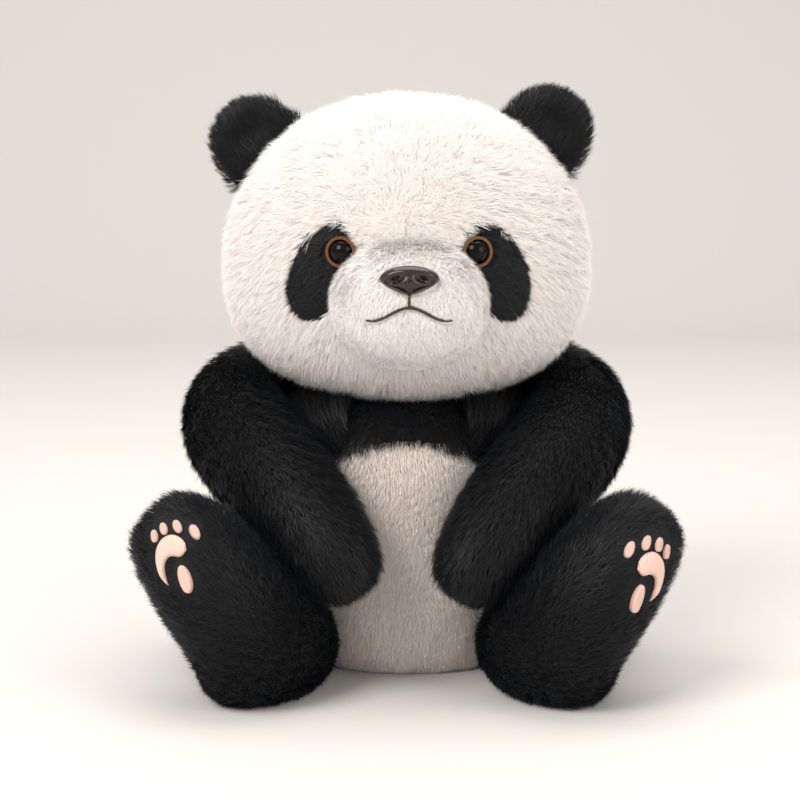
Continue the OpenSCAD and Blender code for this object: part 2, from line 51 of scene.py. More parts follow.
TORSO_W, TORSO_D, TORSO_H = 134, 150, 140
BELLY_TOP, SIDE_SEAM = 128, 106
BELLY_Z, BELLY_LOW, TORSO_POWER, RING_POWER = 52, 68, 8, 2.3
HEAD_W, HEAD_H, HEAD_D, HEAD_LEAD, CHEEK, HEAD_ROUND = 188, 155, 148, 18, 6, 0.43
CROWN_POWER, CHIN_POWER = 2, 2.5
NECK_D, NECK_H = 40, 8
HEAD_Y = -HEAD_LEAD
HEAD_Z = TORSO_H + NECK_H + HEAD_H / 2
FACE_X = 1
MUZZLE_W, MUZZLE_H, MUZZLE_OUT, MUZZLE_POWER = 76, 64, 30, 2.6
MUZZLE_Z = HEAD_Z - 24
EYE_Z, EYE_D, EYE_GAP = HEAD_Z + 2.5, 16, 5.2
MUZZLE_EDGE = MUZZLE_W / 2 * math.sqrt(1 - ((EYE_Z - MUZZLE_Z) / (MUZZLE_H / 2)) ** 2)
EYE_X = MUZZLE_EDGE + EYE_GAP + EYE_D / 2
PATCH_W, PATCH_H, PATCH_X, PATCH_LEAN = 31, 53, 43, 24
PATCH_Z = EYE_Z - 10
NOSE_Z = MUZZLE_Z + 15
NOSE_W, NOSE_H, NOSE_UP = 30, 14, 22
MOUTH_W = 44
MOUTH_Z = NOSE_Z - NOSE_H / 2 - 7
EAR_W, EAR_H, EAR_T, EAR_Y = 47, 29, 20, 8
EAR_LEAN = {LEFT: 34, RIGHT: 40}
EAR_RISE = {LEFT: 52, RIGHT: 47}
SEAM_GAP = 2.4
EAR_GAP = 1.5 * SEAM_GAP
ARM_D, PAW_D = 52, 58
THIGH_D, HEEL_W, HEEL_H, FOOT_W, FOOT_T = 62, 66, 50, 80, 78
TAIL_D, TAIL_DEPTH, TAIL_Z = 40, 36, 34
SIDES = {LEFT: "left", RIGHT: "right"}


def unit(v):
    return v / np.maximum(np.linalg.norm(v, axis=-1, keepdims=True), 1e-9)


def points(x, y, z):
    """Three arrays, or numbers, as one array of points."""
    return np.stack(np.broadcast_arrays(x, y, z), axis=-1).astype(float)


def mirrored(p, side):
    """Points of the left side moved to the given side."""
    return p * np.array([side, 1, 1])


# ---- Forms, as formulas --------------------------------------------------------------------------

def power_ring(a, power):
    """A superellipse of half-widths 1: cosine and sine raised to 2 / power, with their signs."""
    c, s = np.cos(a), np.sin(a)
    return np.sign(c) * abs(c) ** (2 / power), np.sign(s) * abs(s) ** (2 / power)


def torso_share(z):
    """How much of its full width the torso has at height z: two power curves that meet at the belly."""
    low = np.clip((BELLY_Z - z) / BELLY_LOW, 0, 1)
    high = np.clip((z - BELLY_Z) / (TORSO_H - BELLY_Z), 0, 1)
    return np.where(z < BELLY_Z, (1 - low ** 3) ** (1 / 3), (1 - high ** TORSO_POWER) ** (1 / TORSO_POWER))


def torso_form(a, q):
    """Superellipse rings from the top at q 0 down to the ground at q 0.9, then in over the flat seat."""
    z = TORSO_H * (1 + np.cos(np.pi * np.minimum(q / 0.9, 1))) / 2
    share = torso_share(z) * np.minimum((1 - q) / 0.1, 1)
    x, y = power_ring(a, RING_POWER)
    return points(TORSO_W / 2 * share * x, TORSO_D / 2 * share * y, z)


def seam_height(p):
    """The seam between black and white: an arch over the belly, level round the back."""
    front = np.clip(-p[..., 1] / TORSO_D * 2, 0, 1)
    across = p[..., 0] / TORSO_W * 2
    front = front / np.maximum(np.hypot(front, across), 1e-6)
    return SIDE_SEAM + (BELLY_TOP - SIDE_SEAM) * np.where(p[..., 1] < 0, front, 0) ** 3


def head_share(u):
    return np.clip(1 - abs(u) ** np.where(u > 0, CROWN_POWER, CHIN_POWER), 0, 1) ** HEAD_ROUND


def head_ring(z):
    """Half-widths of the head along X and Y at height z."""
    u = np.clip((z - HEAD_Z) / (HEAD_H / 2), -1, 1)
    return (HEAD_W / 2 - CHEEK * u) * head_share(u), HEAD_D / 2 * head_share(u)


def head_form(a, q):
    """Elliptical rings from the chin at q 0 to the crown at q 1."""
    z = HEAD_Z - HEAD_H / 2 * np.cos(np.pi * q)
    wide, deep = head_ring(z)
    return points(wide * np.cos(a), HEAD_Y + deep * np.sin(a), z)


def face_y(x, z):
    """The face's surface in front of x and z."""
    wide, deep = head_ring(z)
    return HEAD_Y - deep * np.sqrt(np.clip(1 - (x / np.maximum(wide, 1e-6)) ** 2, 0, 1))


def muzzle_r(x, z):
    return np.hypot((x - FACE_X) / (MUZZLE_W / 2), (z - MUZZLE_Z) / (MUZZLE_H / 2))


def muzzle_y(x, z):
    """The muzzle's surface: the face's, pushed out by a power dome, with a soft crease down its middle."""
    dome = (1 - np.minimum(muzzle_r(x, z), 1) ** MUZZLE_POWER) ** (1 / MUZZLE_POWER)
    crease = 2.2 * np.exp(-((x - FACE_X) / 4) ** 2) / (1 + np.exp((z - MOUTH_Z + 4) / 3))
    return face_y(x, z) - 0.4 - (MUZZLE_OUT - crease) * dome


def muzzle_form(a, q):
    """The dome from its tip at q 0 to its edge at q 0.85, then in behind it inside the head."""
    r = np.where(q < 0.85, np.sin(np.pi / 2 * np.minimum(q / 0.85, 1)), (1 - q) / 0.15)
    x = FACE_X + MUZZLE_W / 2 * r * np.cos(a)
    z = MUZZLE_Z + MUZZLE_H / 2 * r * np.sin(a)
    return points(x, np.where(q < 0.85, muzzle_y(x, z), face_y(x, z) + 5), z)


def patch_form(side):
    """An oval that leans out at the bottom, laid just off the face; q runs from its middle to its edge."""
    lean = math.radians(PATCH_LEAN)

    def form(a, q):
        x, z = PATCH_W / 2 * q * np.cos(a), PATCH_H / 2 * q * np.sin(a)
        wide = FACE_X + side * (PATCH_X + x * math.cos(lean) - z * math.sin(lean))
        high = PATCH_Z + x * math.sin(lean) + z * math.cos(lean)
        return points(wide, face_y(wide, high) - 1.3 * np.sqrt(np.clip(1 - q ** 4, 0, 1)) + 0.5, high)

    return form


def patch_r(side, x, z):
    """0 in the middle of an eye patch and 1 at its edge."""
    lean = math.radians(PATCH_LEAN)
    out, up = side * (x - FACE_X) - PATCH_X, z - PATCH_Z
    across = out * math.cos(lean) + up * math.sin(lean)
    along = up * math.cos(lean) - out * math.sin(lean)
    return np.hypot(across / (PATCH_W / 2), along / (PATCH_H / 2))


def ear_place(side):
    """The foot of an ear on the head, and its directions: across, to the back and up along it."""
    z = HEAD_Z + EAR_RISE[side]
    wide, deep = head_ring(np.array(float(z)))
    root = np.array([side * wide * math.sqrt(1 - (EAR_Y / deep) ** 2), HEAD_Y + EAR_Y, z])
    lean = math.radians(EAR_LEAN[side])
    up = np.array([side * math.sin(lean), 0, math.cos(lean)])
    across = np.array([math.cos(lean), 0, -side * math.sin(lean)])
    return root + up * EAR_GAP, across, np.array([0, 1, 0]), up


def ear_form(side):
    """A half-round pouch: a power dome over an oval foot, dished at the front."""
    root, across, back, up = ear_place(side)

    def form(a, q):
        t = np.maximum((q - 0.15) / 0.85, 0)
        share = np.where(q < 0.15, q / 0.15, np.cos(np.pi / 2 * t) ** 0.8)
        high = np.where(q < 0.15, -3.0, EAR_H * np.sin(np.pi / 2 * t) - 3 * (1 - np.minimum(t * 6, 1)))
        wide, deep = EAR_W / 2 * share * np.cos(a), EAR_T / 2 * share * np.sin(a)
        dish = 3.5 * np.exp(-(wide / 12) ** 2 - ((high - 11) / 8) ** 2) * (np.sin(a) < 0)
        place = wide[..., None] * across + (deep + dish)[..., None] * back + high[..., None] * up
        return root + place

    return form


def bezier(path, t):
    t = np.asarray(t)[..., None]
    u = 1 - t
    p = np.asarray(path, float)
    return u ** 3 * p[0] + 3 * u * u * t * p[1] + 3 * u * t * t * p[2] + t ** 3 * p[3]


def heading(path, t):
    t = np.asarray(t)[..., None]
    u = 1 - t
    p = np.asarray(path, float)
    return unit(u * u * (p[1] - p[0]) + 2 * u * t * (p[2] - p[1]) + t * t * (p[3] - p[2]))


def swell(sizes, t):
    """A smooth curve through three thicknesses, at the start, in the middle and at the end."""
    a, b, c = sizes
    return (1 - t) ** 2 * a + 2 * (1 - t) * t * (2 * b - (a + c) / 2) + t * t * c


def limb_points(limb, a, q, out=0):
    """Oval rings along a bent middle line, closed at both ends and cut off flat by the ground."""
    t = (1 - np.cos(np.pi * q)) / 2
    ahead = heading(limb["path"], t)
    other = unit(np.cross(ahead, limb["facing"]))
    side = np.cross(other, ahead)
    close = np.sin(np.pi * np.clip(q, 0, 1)) ** limb["fullness"]
    wide = ((swell(limb["wide"], t) + out) * close * np.cos(a))[..., None]
    deep = ((swell(limb["deep"], t) + out) * close * np.sin(a))[..., None]
    p = bezier(limb["path"], t) + side * wide + other * deep
    p[..., 2] = np.maximum(p[..., 2], 0)
    return p


SHOULDER_X = TORSO_W / 2 + SEAM_GAP
HIP_X = SHOULDER_X + THIGH_D / 2


def arm(side):
    paw_z = TORSO_H * (0.4 if side == LEFT else 0.41)
    return {
        "path": [
            [SHOULDER_X - 6, 14, TORSO_H + 21],
            [SHOULDER_X + 60, 16, TORSO_H - 26],
            [SHOULDER_X + 4, -TORSO_D / 2 - 26, TORSO_H + 2],
            [SHOULDER_X - 42, -TORSO_D / 2 - 34, paw_z],
        ],
        "wide": [ARM_D / 2 + 2, ARM_D / 2, PAW_D / 2],
        "deep": [ARM_D / 2 + 6, ARM_D / 2 + 2, PAW_D / 2],
        "facing": [1, 0, 0],
        "fullness": 0.48,
    }


LEG = {
    "path": [
        [HIP_X + 4, 13, THIGH_D / 2],
        [HIP_X - 4, -41, HEEL_H / 2 - 6],
        [HIP_X - 76, -160, HEEL_H / 2 - 35],
        [HIP_X + 26, -104, HEEL_H / 2 + 70],
    ],
    "wide": [THIGH_D / 2 - 7, HEEL_W / 2, FOOT_T / 2],
    "deep": [THIGH_D / 2, HEEL_H / 2, FOOT_W / 2],
    "facing": [0.67, -0.74, 0],
    "fullness": 0.5,
}


def limb_form(limb, side):
    return lambda a, q: mirrored(limb_points(limb, a, q), side)


def tail_form(a, q):
    """An ellipsoid whose poles lie along Y."""
    front = TORSO_D / 2 * torso_share(np.array(float(TAIL_Z)))
    return points(
        TAIL_D / 2 * np.sin(np.pi * q) * np.cos(a),
        front + SEAM_GAP + TAIL_DEPTH / 2 - TAIL_DEPTH / 2 * np.cos(np.pi * q),
        TAIL_Z - TAIL_D / 2 * np.sin(np.pi * q) * np.sin(a),
    )


def neck_form(a, q):
    """A short tube, closed at both ends."""
    share = np.minimum(np.minimum(q, 1 - q) / 0.2, 1)
    z = TORSO_H + 0.4 + (NECK_H - 1.6) * np.clip((q - 0.2) / 0.6, 0, 1)
    return points(NECK_D / 2 * share * np.cos(a), 4 - HEAD_LEAD + NECK_D / 2 * share * np.sin(a), z)


# ---- Meshes --------------------------------------------------------------------------------------

def new_mesh(name, co, faces):
    """An object from points in millimetres and an array of faces with 3 or 4 corners each."""
    mesh = bpy.data.meshes.new(name)
    mesh.vertices.add(len(co))
    mesh.vertices.foreach_set("co", (co * MM).ravel())
    mesh.loops.add(faces.size)
    mesh.loops.foreach_set("vertex_index", faces.ravel())
    mesh.polygons.add(len(faces))
    mesh.polygons.foreach_set("loop_start", np.arange(0, faces.size, faces.shape[1]))
    mesh.update(calc_edges=True)
    mesh.validate()
    mesh.shade_smooth()
    piece = bpy.data.objects.new(name, mesh)
    bpy.context.scene.collection.objects.link(piece)
    return piece


def grid_faces(rows, columns, closed):
    """Four-sided faces of a grid of points; closed joins its last column to its first."""
    last = columns if closed else columns - 1
    row, column = np.meshgrid(np.arange(rows - 1), np.arange(last), indexing="ij")
    after = (column + 1) % columns
    corners = [row * columns + column, row * columns + after, (row + 1) * columns + after]
    corners.append((row + 1) * columns + column)
    return np.stack(corners, -1).reshape(-1, 4)


def tidy(piece):
    """Merges points that coincide at poles, and turns the faces outwards."""
    shape = bmesh.new()
    shape.from_mesh(piece.data)
    bmesh.ops.remove_doubles(shape, verts=shape.verts, dist=0.02 * MM)
    bmesh.ops.recalc_face_normals(shape, faces=shape.faces)
    shape.to_mesh(piece.data)
    shape.free()
    piece.data.shade_smooth()
    return piece


def round_piece(name, form, around=72, along=48):
    """A closed surface of rings: form(a, q) with a going round and q from one end to the other."""
    a, q = np.meshgrid(np.arange(around) / around * 2 * np.pi, np.linspace(0, 1, along + 1))
    return tidy(new_mesh(name, form(a, q).reshape(-1, 3), grid_faces(along + 1, around, True)))


def coordinates(mesh):
    co = np.empty(len(mesh.vertices) * 3)
    mesh.vertices.foreach_get("co", co)
    return co.reshape(-1, 3) / MM


def modifier(piece, kind, **settings):
    made = piece.modifiers.new(kind.lower(), kind)
    for key, value in settings.items():
        setattr(made, key, value)
    return made


def settle_modifiers(piece):
    """Makes the piece's modifiers part of its mesh."""
    graph = bpy.context.evaluated_depsgraph_get()
    mesh = bpy.data.meshes.new_from_object(piece.evaluated_get(graph))
    piece.modifiers.clear()
    piece.data = mesh
    mesh.shade_smooth()


SIM_FRAMES = 16


def puff(piece, held, voxel=4.5, cap=3.5, pressure=4.0):
    """Blows a skin up as a cloth whose seams are held, so that the fabric swells between them.
    held(points) is 1 on a seam and 0 away from it. No point moves further than cap."""
    modifier(piece, "REMESH", mode="VOXEL", voxel_size=voxel * MM)
    settle_modifiers(piece)
    before = coordinates(piece.data)
    group = piece.vertex_groups.new(name="held")
    weights = np.clip(held(before), 0, 1)
    for step in range(1, 5):
        chosen = np.nonzero(np.round(weights * 4) == step)[0]
        group.add(chosen.tolist(), step / 4, "REPLACE")
    cloth = modifier(piece, "CLOTH")
    cloth.settings.vertex_group_mass = "held"
    cloth.settings.use_pressure = True
    cloth.settings.uniform_pressure_force = pressure
    cloth.settings.effector_weights.gravity = 0
    cloth.settings.tension_stiffness = 8
    cloth.settings.compression_stiffness = 8
    cloth.settings.bending_stiffness = 0.4
    cloth.point_cache.frame_end = SIM_FRAMES
    for frame_number in range(1, SIM_FRAMES + 1):
        bpy.context.scene.frame_set(frame_number)
    settle_modifiers(piece)
    bpy.context.scene.frame_set(1)
    move = coordinates(piece.data) - before
    far = np.linalg.norm(move, axis=1, keepdims=True)
    move *= np.minimum(1, cap / np.maximum(far, 1e-6))
    after = before + move
    after[:, 2] = np.maximum(after[:, 2], 0)
    piece.data.vertices.foreach_set("co", (after * MM).ravel())
    piece.vertex_groups.clear()
    modifier(piece, "SUBSURF", levels=1, render_levels=1)
    settle_modifiers(piece)
    return piece


def near_line(line, reach):
    """1 on a line of points, falling to 0 at reach from it."""
    def weight(p):
        gap = np.linalg.norm(p[:, None, :] - line[None], axis=2).min(axis=1)
        return 1.2 - gap / reach
    return weight


def part_of(piece, name, keep):
    """A new piece of those faces whose middles keep(points) chooses."""
    mesh = piece.data
    corners = np.empty(len(mesh.polygons) * 4, np.int32)
    mesh.loops.foreach_get("vertex_index", corners)
    faces = corners.reshape(-1, 4)
    co = coordinates(mesh)
    faces = faces[keep(co[faces].mean(axis=1))]
    used, index = np.unique(faces, return_inverse=True)
    return new_mesh(name, co[used], index.reshape(-1, 4).astype(np.int32))


# ---- Pile: hairs as fine tapered strips ----------------------------------------------------------

def ripple(seed, size):
    """A smooth random field of directions: sines along random lines, about size millimetres across."""
    chance = np.random.default_rng(seed)
    lines = chance.normal(size=(9, 3)) * 2 * np.pi / size / 1.6
    phases = chance.uniform(0, 2 * np.pi, 9)
    ways = chance.normal(size=(9, 3)) / 3
    return lambda p: np.sin(p @ lines.T + phases) @ ways


def surface_samples(piece, per_mm2):
    """Random points spread evenly over a mesh, with the smooth normals there."""
    mesh = piece.data
    mesh.calc_loop_triangles()
    tris = np.empty(len(mesh.loop_triangles) * 3, np.int32)
    mesh.loop_triangles.foreach_get("vertices", tris)
    tris = tris.reshape(-1, 3)
    co = coordinates(mesh)
    normals = np.empty(len(mesh.vertices) * 3)
    mesh.vertices.foreach_get("normal", normals)
    normals = normals.reshape(-1, 3)
    corners = co[tris]
    area = np.linalg.norm(np.cross(corners[:, 1] - corners[:, 0], corners[:, 2] - corners[:, 0]), axis=1) / 2
    total = np.cumsum(area)
    count = int(total[-1] * per_mm2)
    chosen = np.searchsorted(total, RANDOM.uniform(0, total[-1], count))
    chosen = np.minimum(chosen, len(tris) - 1)
    b = np.sqrt(RANDOM.uniform(0, 1, count))
    c = RANDOM.uniform(0, 1, count)
    share = np.stack([1 - b, b * (1 - c), b * c], -1)[..., None]
    return (corners[chosen] * share).sum(1), unit((normals[tris[chosen]] * share).sum(1))


def pile(name, piece, finish, body, per_mm2, length, comb, keep=None, lean=(50, 68), width=0.36,
         swirl=0.14, grain=18, normal_mix=0.3):
    """Hairs on a piece. Each is a root, two points half-way up that give it its width, and a tip.
    comb(points) is the way the hairs are brushed, lean their angles off the surface at the root and
    the tip, and swirl how much a smooth random field of that grain turns them."""
    root, normal = surface_samples(piece, per_mm2)
    if keep is not None:
        kept = keep(root, normal)
        root, normal = root[kept], normal[kept]
    count = len(root)
    tuft, wisp = ripple(len(name), grain), ripple(len(name) + 50, grain / 4)
    way = comb(root) + swirl * 1.6 * tuft(root) + swirl * wisp(root) + RANDOM.normal(0, 0.2, (count, 3))
    way = unit(way - (way * normal).sum(1, keepdims=True) * normal)
    first, last = (np.radians(v + RANDOM.normal(0, 7, (count, 1))) for v in lean)
    size = (length(root) if callable(length) else np.full(count, float(length)))[:, None]
    size = size * RANDOM.uniform(0.72, 1.12, (count, 1)) * (1 + 0.12 * wisp(root)[:, :1])
    low = normal * np.cos(first) + way * np.sin(first)
    high = normal * np.cos(last) + way * np.sin(last)
    middle = root + low * size * 0.5
    tip = middle + high * size * 0.5
    flat = np.cross(normal, way)
    twist = RANDOM.normal(0, 0.25, (count, 1))
    flat = unit(flat * np.cos(twist) + np.cross(unit(low), flat) * np.sin(twist))
    half = flat * width / 2
    co = np.stack([root - normal * 0.3, middle - half, middle + half, tip], axis=1)
    co[..., 2] = np.maximum(co[..., 2], 0.3)
    face = unit(np.cross(co[:, 2] - co[:, 0], co[:, 1] - co[:, 0]))
    turned = (face * normal).sum(1) < 0
    faces = np.array([[0, 2, 1], [1, 2, 3]]) + 4 * np.arange(count)[:, None, None]
    back = np.array([[0, 1, 2], [1, 3, 2]]) + 4 * np.arange(count)[:, None, None]
    faces = np.where(turned[:, None, None], back, faces).reshape(-1, 3).astype(np.int32)
    face = np.where(turned[:, None], -face, face)
    hairs = new_mesh(name, co.reshape(-1, 3), faces)
    soft = unit(normal + normal_mix * face + 0.12 * RANDOM.normal(size=(count, 3)))
    hairs.data.normals_split_custom_set_from_vertices(np.repeat(soft, 4, axis=0))
    tone = np.clip(0.5 + 0.18 * RANDOM.normal(size=count) + 0.06 * tuft(root)[:, 0], 0.05, 0.95)
    along = np.stack([tone, tone - 0.015, tone + 0.015, tone], 1)
    # Up each hair from root to tip; pile_finish paints shade at the root by this.
    up = np.broadcast_to(np.array([0.02, 0.5, 0.5, 0.98]), along.shape)
    corner_uv = np.stack([along, up], -1).reshape(-1, 2)[faces.ravel()]
    layer = hairs.data.uv_layers.new(name="OFBake")
    layer.data.foreach_set("uv", corner_uv.ravel())
    hairs.data.materials.append(finish)
    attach(hairs, body)
    print("pile", name, count)
    return hairs


# ---- Finishes ------------------------------------------------------------------------------------

class Value:
    """A shader socket that can be used in sums."""

    def __init__(self, shader, socket):
        self.shader, self.socket = shader, socket

    def _with(self, operation, other, swap=False):
        pair = [other, self] if swap else [self, other]
        return self.shader.node("ShaderNodeMath", {"operation": operation}, {0: pair[0], 1: pair[1]})

    def __add__(self, other): return self._with("ADD", other)
    def __radd__(self, other): return self._with("ADD", other)
    def __sub__(self, other): return self._with("SUBTRACT", other)
    def __rsub__(self, other): return self._with("SUBTRACT", other, True)
    def __mul__(self, other): return self._with("MULTIPLY", other)
    def __rmul__(self, other): return self._with("MULTIPLY", other)
    def __truediv__(self, other): return self._with("DIVIDE", other)
    def __pow__(self, other): return self._with("POWER", other)


class Finish:
    """A material made of one principled shader."""

    def __init__(self, name, **uniform):
        self.material = bpy.data.materials.new(name)
        self.material.use_nodes = True
        self.tree = self.material.node_tree
        self.main = self.tree.nodes["Principled BSDF"]
        for key, value in uniform.items():
            self.main.inputs[key.replace("_", " ").title().replace("Ior", "IOR")].default_value = value

    def put(self, socket, value):
        if isinstance(value, Value):
            self.tree.links.new(value.socket, socket)
        else:
            socket.default_value = value

    def node(self, kind, settings=None, inputs=None, out=0):
        """A node of that kind, with its settings and inputs, as a Value of one of its outputs."""
        made = self.tree.nodes.new(kind)
        for key, value in (settings or {}).items():
            setattr(made, key, value)
        for key, value in (inputs or {}).items():
            self.put(made.inputs[key], value)
        return Value(self, made.outputs[out])

    def colour(self, factor, low, high):
        """A mix from colour low to colour high."""
        mix = {"data_type": "RGBA"}
        return self.node("ShaderNodeMix", mix, {0: factor, 6: rgba(low), 7: rgba(high)}, out=2)

    def set(self, name, value):
        self.put(self.main.inputs[name], value)
        return self


def rgba(value):
    if isinstance(value, Value):
        return value
    return (*value, 1) if len(value) == 3 else value


def pile_finish(name, root, dark, light, roughness=0.75, sheen=0.0, sheen_tint=(1, 1, 1), gloss=0.25):
    """Hairs with painted shade at the root, darker there, and a tone of their own from dark to light."""
    finish = Finish(name, roughness=roughness, sheen_weight=sheen, sheen_roughness=0.45)
    finish.main.inputs["Sheen Tint"].default_value = (*sheen_tint, 1)
    finish.main.inputs["Specular IOR Level"].default_value = gloss
    uv = finish.node("ShaderNodeUVMap", {"uv_map": "OFBake"})
    tone = finish.node("ShaderNodeSeparateXYZ", {}, {0: uv}, out=0)
    along = Value(finish, tone.socket.node.outputs[1])
    body = finish.colour(tone, dark, light)
    # Painted shade: the colour runs from the darker root colour at the skin to the hair's own tone towards
    # its tip.
    finish.set("Base Color", finish.colour(along ** 0.7, root, body))
    return finish.material


def cloth_finish(name, low, high, scale=900, roughness=0.9):
    """Knitted backing cloth: two close tones in a fine noise, which also lifts the surface."""
    finish = Finish(name, roughness=roughness)
    place = finish.node("ShaderNodeTexCoord", {}, {}, out=3)
    noise = finish.node("ShaderNodeTexNoise", {}, {"Vector": place, "Scale": scale})
    finish.set("Base Color", finish.colour(noise, low, high))
    bump = finish.node("ShaderNodeBump", {}, {"Strength": 0.3, "Distance": 0.0004, "Height": noise})
    finish.set("Normal", bump)
    return finish.material


# Each pile's first colour is painted shade at the hair roots; its other two span the hairs' own tones.
CREAM_PILE = pile_finish("cream pile", (0.78, 0.70, 0.65), (0.90, 0.86, 0.83), (0.97, 0.95, 0.94), sheen=0.1)
MUZZLE_PILE = pile_finish(
    "short cream pile", (0.90, 0.86, 0.83), (0.95, 0.93, 0.91), (0.99, 0.98, 0.97), sheen=0.1)
BELLY_PILE = pile_finish("belly pile", (0.66, 0.56, 0.50), (0.84, 0.76, 0.71), (0.93, 0.88, 0.84), sheen=0.1)
BLACK_PILE = pile_finish(
    "black pile", (0.0015, 0.0015, 0.0018), (0.003, 0.0033, 0.004), (0.008, 0.0095, 0.013),
    roughness=0.5, sheen=0.06, sheen_tint=(0.75, 0.85, 1),
)
CREAM_CLOTH = cloth_finish("cream backing", (0.84, 0.78, 0.74), (0.92, 0.88, 0.85))
BLACK_CLOTH = cloth_finish("black backing", (0.003, 0.003, 0.004), (0.008, 0.008, 0.01))


# ---- Skins ---------------------------------------------------------------------------------------

def stuffed(piece, finish, body, nodes):
    """Gives a stuffed skin its finish and its body, and hides the nodes that it stands for."""
    piece.data.materials.clear()
    piece.data.materials.append(finish)
    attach(piece, body)
    if nodes:
        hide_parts(*nodes)
    return piece


def torso_held(p):
    """The yoke seam, the seat's edge and the middle of the back are held."""
    seam = 1.2 - abs(p[:, 2] - seam_height(p)) / 6
    seat = (p[:, 2] < 3) * 1.0
    back = (1.2 - abs(p[:, 0]) / 5) * (p[:, 1] > 30)
    return np.maximum(np.maximum(seam, seat), back)


def head_held(p):
    """The seam round the head from ear to ear, and the ring under the muzzle, are held."""
    side = 1.2 - abs(p[:, 1] - HEAD_Y) / 6
    face = (p[:, 1] < HEAD_Y) & (abs(p[:, 0]) < 62) & (abs(p[:, 2] - EYE_Z + 12) < 45)
    return np.maximum(side, face * 1.0)


def limb_held(limb, side, pads=False):
    """Both seams along a limb are held, and on a leg the sole under its pads."""
    q = np.linspace(0.02, 0.98, 60)
    seams = [limb_points(limb, np.full(60, turn), q) for turn in (np.pi / 2, -np.pi / 2)]
    if pads:
        a, along = np.meshgrid(np.linspace(-1.2, 1.2, 13), np.linspace(0.62, 0.95, 12))
        seams.append(limb_points(limb, a.ravel(), along.ravel()))
    return near_line(mirrored(np.concatenate(seams), side), 6)


torso = puff(round_piece("torso_skin", torso_form), torso_held)
below = part_of(torso, "torso_lower_skin", lambda p: p[:, 2] < seam_height(p))
above = part_of(torso, "torso_yoke_skin", lambda p: p[:, 2] >= seam_height(p))
stuffed(below, CREAM_CLOTH, "torso",
        ["belly_panel", "lower_back_panel", "seat_panel", "torso_stuffing", "pellet_bag"])
stuffed(above, BLACK_CLOTH, "torso",
        ["front_yoke", "back_yoke", "left_shoulder_seam", "right_shoulder_seam", "left_hip_seam",
         "right_hip_seam"])
head = stuffed(puff(round_piece("head_skin", head_form), head_held), CREAM_CLOTH, "head",
               ["face_panel", "head_back_panel", "head_stuffing"])
muzzle = stuffed(round_piece("muzzle_skin", muzzle_form, 96, 64), CREAM_CLOTH, "head",
                 ["muzzle_panel", "muzzle_stuffing"])
neck = stuffed(round_piece("neck_skin", neck_form, 48, 10), BLACK_CLOTH, "neck",
               ["neck_sleeve", "neck_stuffing"])
tail = stuffed(puff(round_piece("tail_skin", tail_form), lambda p: 1.2 - abs(p[:, 2] - TAIL_Z) / 3, 3, 2),
               CREAM_CLOTH, "tail",
               ["tail_upper_panel", "tail_lower_panel", "tail_stuffing"])

patches, ears, arms, legs = {}, {}, {}, {}
for side, word in SIDES.items():
    patches[side] = round_piece(word + "_eye_patch_cloth", patch_form(side), 48, 14)
    patches[side].data.materials.append(BLACK_CLOTH)
    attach(patches[side], "head")
    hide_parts(word + "_eye_patch")
    ear_names = [f"{word}_ear_{part}" for part in ("front", "back", "wadding")]
    ears[side] = stuffed(round_piece(word + "_ear_skin", ear_form(side), 64, 32), BLACK_CLOTH, word + "_ear",
                         ear_names)
    limb_names = ("outer_panel", "inner_panel", "stuffing")
    skin = puff(round_piece(word + "_arm_skin", limb_form(arm(side), side)), limb_held(arm(side), side))
    arms[side] = stuffed(skin, BLACK_CLOTH, word + "_arm",
                         [f"{word}_arm_{part}" for part in limb_names])
    skin = puff(round_piece(word + "_leg_skin", limb_form(LEG, side)), limb_held(LEG, side, pads=True))
    legs[side] = stuffed(skin, BLACK_CLOTH, word + "_leg",
                         [f"{word}_leg_{part}" for part in limb_names])

# ---- Paw pads ------------------------------------------------------------------------------------

PAD_Q, PAD_TURN = 0.8, math.radians(35)
PAD_SHIFT = {LEFT: np.array([-1, 8]), RIGHT: np.array([-10, 19])}
BALL_MIDDLE, BALL_R, BALL_HALF_WIDTH = np.array([-2, -7]), 14.5, 7.5
TOES = [(14, 12), (5, 17.5), (-6, 19.5), (-17, 17)]
TOE_SIZE, HEEL_PAD, HEEL_PAD_SIZE = (7, 9), (-4, -9), (9, 13)
FOOT_L = float(np.linalg.norm(np.subtract(LEG["path"][3], LEG["path"][2])))


def sole_points(spot, out):
    """Points of the left sole, from millimetres outwards and up from its middle."""
    x = spot[..., 0] * math.cos(PAD_TURN) - spot[..., 1] * math.sin(PAD_TURN)
    y = spot[..., 0] * math.sin(PAD_TURN) + spot[..., 1] * math.cos(PAD_TURN)
    return limb_points(LEG, np.radians(x / FOOT_W * 115), PAD_Q + y / FOOT_L / 1.9, out)


def oval_line(middle, size):
    line = lambda q: np.array(middle) + np.stack([0 * q, size[1] * (q - 0.5)], -1)
    return line, lambda q: size[0] / 2 * np.sqrt(np.clip(1 - (2 * q - 1) ** 2, 0, 1))


def ball_line(middle):
    turn = lambda q: np.radians(-34 + 152 * q)
    line = lambda q: middle + BALL_R * np.stack([np.cos(turn(q)), np.sin(turn(q))], -1)
    round_end = lambda q: np.sqrt(np.clip(1 - np.maximum(4 * q - 3, 0) ** 2, 0, 1))
    return line, lambda q: BALL_HALF_WIDTH * np.clip(q, 0, 1) ** 0.7 * round_end(q)


def pads(side):
    """The middle lines and half-widths of the four toes, the heel pad and the ball of one foot."""
    shift = PAD_SHIFT[side]
    toes = [oval_line(shift + toe, TOE_SIZE) for toe in TOES]
    return toes + [oval_line(shift + HEEL_PAD, HEEL_PAD_SIZE), ball_line(shift + BALL_MIDDLE)]


PAD_LIFT = 3.4


def pad_spots(line, width, across, q):
    """Flat positions on a pad: across from -1 to 1, along its middle line with q."""
    way = unit(line(q + 0.01) - line(q - 0.01))
    return line(q) + (width(q) * across)[..., None] * np.stack([way[..., 1], -way[..., 0]], -1)


